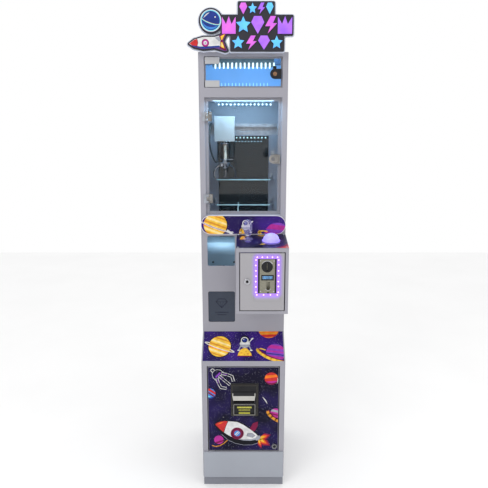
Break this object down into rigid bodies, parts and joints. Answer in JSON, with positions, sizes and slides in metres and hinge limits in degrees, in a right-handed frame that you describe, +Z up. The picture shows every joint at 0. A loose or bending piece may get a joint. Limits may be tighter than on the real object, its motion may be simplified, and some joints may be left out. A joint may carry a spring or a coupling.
{
  "type": "claw crane machine",
  "caption": "Slim floor-standing claw crane game with a glazed tower, overhead crane, coin box with joystick and button, prize flap, service door and cut-out sign.",
  "frame": {"origin": "centre of the cabinet's base, on the floor", "axes": "+X to the right seen from the front, the front faces -Y, +Z up"},
  "size_m": [0.376, 0.486, 1.846],
  "materials": {
    "cabinet_paint": "fine-textured powder coat, light grey",
    "plinth_paint": "fine-textured powder coat, mid grey",
    "inner_paint": "smooth powder coat, near white",
    "zinc_steel": "zinc plated",
    "chrome": "polished",
    "brushed_plate": "brushed, olive grey",
    "clear_acrylic": "polished, clear",
    "smoked_acrylic": "polished, smoked blue-grey",
    "door_glass": "polished, clear",
    "mirror": "polished",
    "printed_sheet": "glossy printed sheet, indigo",
    "sign_board": "matt foam board, white rim on black",
    "sign_faces": "glossy printed acrylic, pink, blue and violet",
    "black_plastic": "fine moulded texture",
    "grey_plastic": "fine moulded texture",
    "lit_plastic": "clear, lit lavender from inside",
    "led_board": "white strip with lit diodes",
    "copper_coil": "wound enamelled wire with bright caps",
    "rubber_cord": "smooth, black",
    "string": "braided",
    "board_green": "solder mask over fibre board, with a steel case beside it"
  },
  "bodies": {
    "cabinet": {"base_pan": "plinth_paint", "left_side_panel": "cabinet_paint", "right_side_panel": "cabinet_paint", "lower_front_panel": "cabinet_paint", "kick_panel": "cabinet_paint", "middle_front_panel": "cabinet_paint", "upper_front_frame": "cabinet_paint", "roof_panel": "cabinet_paint", "light_box_floor": "inner_paint", "rear_panels": "cabinet_paint", "back_mirror": "mirror", "display_ledges": "clear_acrylic", "playfield_deck": "inner_paint", "prize_chute": "inner_paint", "clear_guards": "clear_acrylic", "side_rails": "zinc_steel", "light_bars": "led_board", "control_box": "cabinet_paint", "control_panel": "printed_sheet", "control_housings": "black_plastic", "cash_box": "zinc_steel", "frame_hinge_parts": "zinc_steel", "electronics": "board_green", "power_inlet": "black_plastic", "banner_board": "printed_sheet", "sign_backboard": "sign_board", "sign_shapes": "sign_faces", "sign_brackets": "zinc_steel"},
    "light_box_door": {"light_box_glass": "door_glass", "light_box_fittings": "chrome"},
    "light_box_lock": {"light_box_lock_plug": "chrome"},
    "main_door": {"main_door_glass": "door_glass", "main_door_fittings": "chrome"},
    "main_door_lock": {"main_door_lock_plug": "chrome"},
    "coin_door": {"coin_door": "cabinet_paint", "coin_acceptor": "brushed_plate"},
    "coin_slot_button": {"coin_slot_button": "black_plastic"},
    "coin_door_lock": {"coin_door_lock_plug": "chrome"},
    "service_door": {"service_door": "cabinet_paint", "bill_acceptor": "black_plastic"},
    "service_door_lock": {"service_door_lock_plug": "chrome"},
    "prize_flap": {"prize_flap": "smoked_acrylic"},
    "joystick_gimbal": {"joystick_gimbal": "zinc_steel"},
    "joystick": {"joystick": "lit_plastic"},
    "play_button": {"play_button": "lit_plastic"},
    "power_switch": {"power_switch": "black_plastic"},
    "gantry": {"gantry_frame": "zinc_steel", "trolley_cable": "rubber_cord"},
    "gantry_axle": {"gantry_axle": "zinc_steel"},
    "trolley": {"trolley_frame": "zinc_steel", "trolley_cover": "grey_plastic", "hoist_string": "string", "curly_cord": "rubber_cord"},
    "trolley_wheel": {"trolley_wheel": "black_plastic"},
    "winch_drum": {"winch_drum": "black_plastic"},
    "claw": {"claw_body": "copper_coil"},
    "claw_plunger": {"claw_plunger": "zinc_steel"},
    "claw_finger_1": {"claw_finger_1": "chrome"},
    "claw_finger_2": {"claw_finger_2": "chrome"},
    "claw_finger_3": {"claw_finger_3": "chrome"}
  },
  "joints": [
    {"name": "light_box_hinge", "type": "hinge", "parent": "cabinet", "child": "light_box_door", "pos_m": [-0.134, -0.1015, 1.6155], "axis": [0, 0, -1], "range_deg": [0, 110]},
    {"name": "light_box_lock_turn", "type": "hinge", "parent": "light_box_door", "child": "light_box_lock", "pos_m": [0.114, -0.1, 1.609], "axis": [0, 1, 0], "range_deg": [0, 90]},
    {"name": "main_door_hinge", "type": "hinge", "parent": "cabinet", "child": "main_door", "pos_m": [-0.1345, -0.1095, 1.312], "axis": [0, 0, -1], "range_deg": [0, 110]},
    {"name": "main_door_lock_turn", "type": "hinge", "parent": "main_door", "child": "main_door_lock", "pos_m": [0.111, -0.1, 1.306], "axis": [0, 1, 0], "range_deg": [0, 90]},
    {"name": "coin_door_hinge", "type": "hinge", "parent": "cabinet", "child": "coin_door", "pos_m": [0.1416, -0.266, 0.8775], "axis": [0, 0, 1], "range_deg": [0, 110]},
    {"name": "coin_slot_button_press", "type": "slide", "parent": "coin_door", "child": "coin_slot_button", "axis": [0, 1, 0], "range_m": [0, 0.003], "stiffness_N_per_m": 300, "springref_m": -0.002},
    {"name": "coin_door_lock_turn", "type": "hinge", "parent": "coin_door", "child": "coin_door_lock", "pos_m": [0.014, -0.27, 0.88], "axis": [0, -1, 0], "range_deg": [0, 90]},
    {"name": "service_door_hinge", "type": "hinge", "parent": "cabinet", "child": "service_door", "pos_m": [-0.1326, -0.199, 0.336], "axis": [0, 0, -1], "range_deg": [0, 110]},
    {"name": "service_door_lock_turn", "type": "hinge", "parent": "service_door", "child": "service_door_lock", "pos_m": [0.124, -0.2, 0.175], "axis": [0, 1, 0], "range_deg": [0, 90]},
    {"name": "prize_flap_hinge", "type": "hinge", "parent": "cabinet", "child": "prize_flap", "pos_m": [-0.086, -0.101, 0.797], "axis": [1, 0, 0], "range_deg": [0, 60]},
    {"name": "joystick_forward_back", "type": "hinge", "parent": "cabinet", "child": "joystick_gimbal", "pos_m": [0.017, -0.19526, 0.99528], "axis": [1, 0, 0], "range_deg": [-15, 15], "stiffness_Nm_per_rad": 0.4},
    {"name": "joystick_left_right", "type": "hinge", "parent": "joystick_gimbal", "child": "joystick", "pos_m": [0.017, -0.19526, 0.99528], "axis": [0, 0.9941, 0.1084], "range_deg": [-15, 15], "stiffness_Nm_per_rad": 0.4},
    {"name": "play_button_press", "type": "slide", "parent": "cabinet", "child": "play_button", "axis": [0, 0.1084, -0.9941], "range_m": [0, 0.004], "stiffness_N_per_m": 600, "springref_m": -0.003},
    {"name": "power_switch_rocker", "type": "hinge", "parent": "cabinet", "child": "power_switch", "pos_m": [-0.03, 0.205, 0.114], "axis": [1, 0, 0], "range_deg": [0, 14]},
    {"name": "gantry_travel", "type": "slide", "parent": "cabinet", "child": "gantry", "axis": [0, 1, 0], "range_m": [0, 0.112]},
    {"name": "gantry_axle_turn", "type": "hinge", "parent": "gantry", "child": "gantry_axle", "pos_m": [0, 0.076, 1.417], "axis": [1, 0, 0], "range_deg": [-480, 0]},
    {"name": "trolley_travel", "type": "slide", "parent": "gantry", "child": "trolley", "axis": [1, 0, 0], "range_m": [0, 0.144]},
    {"name": "trolley_wheel_turn", "type": "hinge", "parent": "trolley", "child": "trolley_wheel", "pos_m": [-0.073, 0.05, 1.417], "axis": [0, 1, 0], "range_deg": [0, 430]},
    {"name": "claw_hoist", "type": "slide", "parent": "trolley", "child": "claw", "axis": [0, 0, -1], "range_m": [0, 0.25], "deforming": ["hoist_string", "curly_cord"]},
    {"name": "winch_drum_turn", "type": "hinge", "parent": "trolley", "child": "winch_drum", "pos_m": [-0.0725, 0.01, 1.44], "axis": [1, 0, 0], "range_deg": [0, 1440]},
    {"name": "claw_plunger_lift", "type": "slide", "parent": "claw", "child": "claw_plunger", "axis": [0, 0, 1], "range_m": [0, 0.006], "stiffness_N_per_m": 300, "springref_m": -0.006},
    {"name": "claw_finger_1_close", "type": "hinge", "parent": "claw", "child": "claw_finger_1", "pos_m": [-0.073, 0.017, 1.279], "axis": [-1, 0, 0], "range_deg": [0, 37]},
    {"name": "claw_finger_2_close", "type": "hinge", "parent": "claw", "child": "claw_finger_2", "pos_m": [-0.08772, -0.0085, 1.279], "axis": [0.5, -0.866, 0], "range_deg": [0, 37]},
    {"name": "claw_finger_3_close", "type": "hinge", "parent": "claw", "child": "claw_finger_3", "pos_m": [-0.05828, -0.0085, 1.279], "axis": [0.5, 0.866, 0], "range_deg": [0, 37]}
  ],
  "couplings": [
    {"joint": "gantry_axle_turn", "follows": "gantry_travel", "rad_per_m": -72.993},
    {"joint": "trolley_wheel_turn", "follows": "trolley_travel", "rad_per_m": 51.282},
    {"joint": "winch_drum_turn", "follows": "claw_hoist", "rad_per_m": 100},
    {"joint": "claw_finger_1_close", "follows": "claw_plunger_lift", "rad_per_m": 104.7},
    {"joint": "claw_finger_2_close", "follows": "claw_plunger_lift", "rad_per_m": 104.7},
    {"joint": "claw_finger_3_close", "follows": "claw_plunger_lift", "rad_per_m": 104.7}
  ]
}
